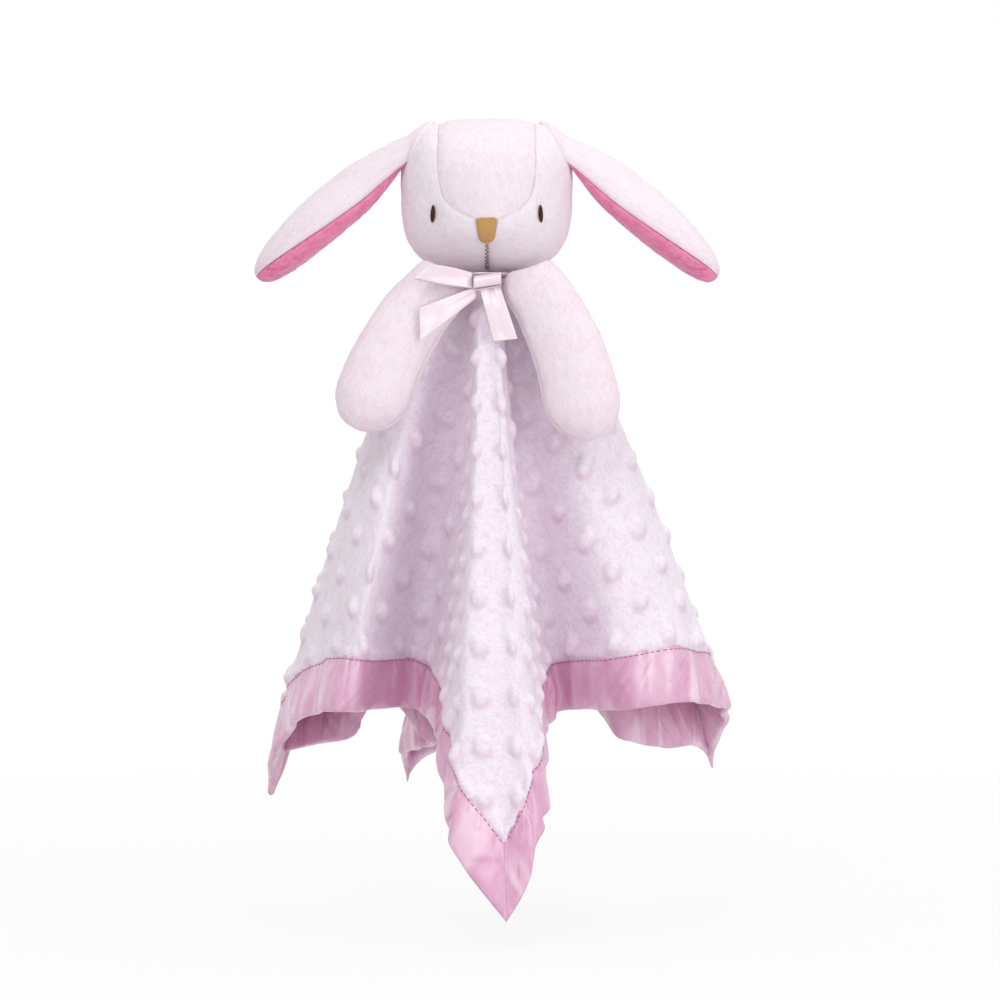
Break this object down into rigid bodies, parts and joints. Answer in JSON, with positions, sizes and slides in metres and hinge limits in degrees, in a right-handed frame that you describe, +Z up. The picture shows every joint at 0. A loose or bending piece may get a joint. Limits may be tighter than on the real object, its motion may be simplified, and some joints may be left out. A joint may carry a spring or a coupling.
{
  "type": "comfort blanket lovey",
  "caption": "Soft rabbit head with floppy ears, padded arms and a ribbon bow, sewn to the gathered middle of a square dimple-plush blanket with satin lining and edge binding.",
  "frame": {"origin": "underside of the blanket's gathered middle, where a stand's post or a fingertip carries it", "axes": "+Z up through the neck and head, the face looks along -Y, +X to the right seen from the front"},
  "size_m": [0.2262, 0.2218, 0.3502],
  "materials": {
    "dimple_plush": "short pile with raised dots, pale pink",
    "short_plush": "short smooth pile, very pale pink",
    "lining_satin": "satin weave, rose pink",
    "binding_satin": "satin weave, rose pink",
    "ear_lining_plush": "short pile, bright pink",
    "ribbon": "single-face satin ribbon, pale pink",
    "seam_thread": "sewing thread, pale pink",
    "nose_thread": "embroidery thread, golden tan",
    "eye_thread": "embroidery thread, dark brown",
    "mouth_thread": "embroidery thread, brown",
    "fibre_filling": "loose white polyester fibre"
  },
  "bodies": {
    "blanket": {"minky_sheet": "dimple_plush", "satin_lining": "lining_satin", "binding_front_left": "binding_satin", "binding_back_left": "binding_satin", "binding_back_right": "binding_satin", "binding_front_right": "binding_satin", "ribbon_neck_band": "ribbon", "bow_knot": "ribbon", "bow_right_loop": "ribbon", "bow_left_loop": "ribbon"},
    "neck": {"neck_seam_ring": "seam_thread"},
    "head": {"head_gusset": "short_plush", "head_side_left": "short_plush", "head_side_right": "short_plush", "head_stuffing": "fibre_filling", "left_eye": "eye_thread", "right_eye": "eye_thread", "nose": "nose_thread", "mouth_stitch": "mouth_thread"},
    "left_ear": {"left_ear_plush": "short_plush", "left_ear_lining": "ear_lining_plush"},
    "right_ear": {"right_ear_plush": "short_plush", "right_ear_lining": "ear_lining_plush"},
    "left_arm": {"left_arm_front": "short_plush", "left_arm_back": "short_plush", "left_arm_stuffing": "fibre_filling"},
    "right_arm": {"right_arm_front": "short_plush", "right_arm_back": "short_plush", "right_arm_stuffing": "fibre_filling"},
    "left_tail": {"bow_left_tail": "ribbon"},
    "right_tail": {"bow_right_tail": "ribbon"}
  },
  "joints": [
    {"name": "head_turn", "type": "hinge", "parent": "blanket", "child": "neck", "pos_m": [0, 0, 0.0031], "axis": [0, 0, 1], "range_deg": [-50, 50], "stiffness_Nm_per_rad": 0.03},
    {"name": "head_nod", "type": "hinge", "parent": "neck", "child": "head", "pos_m": [0, 0, 0.0396], "axis": [1, 0, 0], "range_deg": [-15, 12], "stiffness_Nm_per_rad": 0.06},
    {"name": "left_ear_lift", "type": "hinge", "parent": "head", "child": "left_ear", "pos_m": [-0.02736, -0.0021, 0.0697], "axis": [0, 1, 0], "range_deg": [-6, 60], "stiffness_Nm_per_rad": 0.05, "springref_deg": 1.72},
    {"name": "right_ear_lift", "type": "hinge", "parent": "head", "child": "right_ear", "pos_m": [0.02736, -0.0021, 0.0697], "axis": [0, -1, 0], "range_deg": [-6, 60], "stiffness_Nm_per_rad": 0.05, "springref_deg": 1.72},
    {"name": "left_arm_lift", "type": "hinge", "parent": "blanket", "child": "left_arm", "pos_m": [-0.021, -0.0196, -0.001], "axis": [-0.139, 0.9903, 0], "range_deg": [0, 75]},
    {"name": "right_arm_lift", "type": "hinge", "parent": "blanket", "child": "right_arm", "pos_m": [0.021, -0.021, -0.001], "axis": [-0.139, -0.9903, 0], "range_deg": [0, 75]},
    {"name": "left_tail_swing", "type": "hinge", "parent": "blanket", "child": "left_tail", "pos_m": [-0.00595, -0.02535, -0.00836], "axis": [-0.4722, 0, 0.8815], "range_deg": [0, 50]},
    {"name": "right_tail_swing", "type": "hinge", "parent": "blanket", "child": "right_tail", "pos_m": [0.0013, -0.0271, -0.005], "axis": [-0.9537, 0, -0.3009], "range_deg": [0, 50]}
  ]
}
